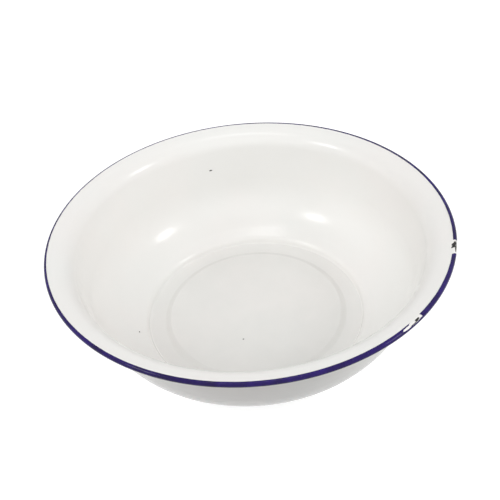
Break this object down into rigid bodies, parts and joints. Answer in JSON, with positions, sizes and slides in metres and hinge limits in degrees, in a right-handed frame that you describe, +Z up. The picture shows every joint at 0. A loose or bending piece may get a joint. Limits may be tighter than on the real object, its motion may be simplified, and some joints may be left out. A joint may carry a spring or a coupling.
{
  "type": "enamel wash basin",
  "caption": "Round shallow enamelled steel basin with a steep wall, sloping flange, dark blue rolled rim and a flat foot ring.",
  "frame": {"origin": "centre of the foot ring, at the level of the surface that the basin stands on", "axes": "+Z up along the bowl's axis; +X and +Y are any two level directions, because the basin is round; in the picture's view -Y is the near side and +X is to the right"},
  "size_m": [0.3599, 0.36, 0.106],
  "materials": {
    "steel": "bare cold-rolled sheet",
    "ground_enamel": "dark fired ground enamel",
    "white_enamel": "gloss fired white enamel",
    "blue_enamel": "gloss fired dark blue enamel"
  },
  "bodies": {
    "root": {"steel_shell": "steel", "ground_coat_inner": "ground_enamel", "ground_coat_outer": "ground_enamel", "white_coat_inner": "white_enamel", "white_coat_outer": "white_enamel", "rim_band": "blue_enamel"}
  },
  "joints": []
}
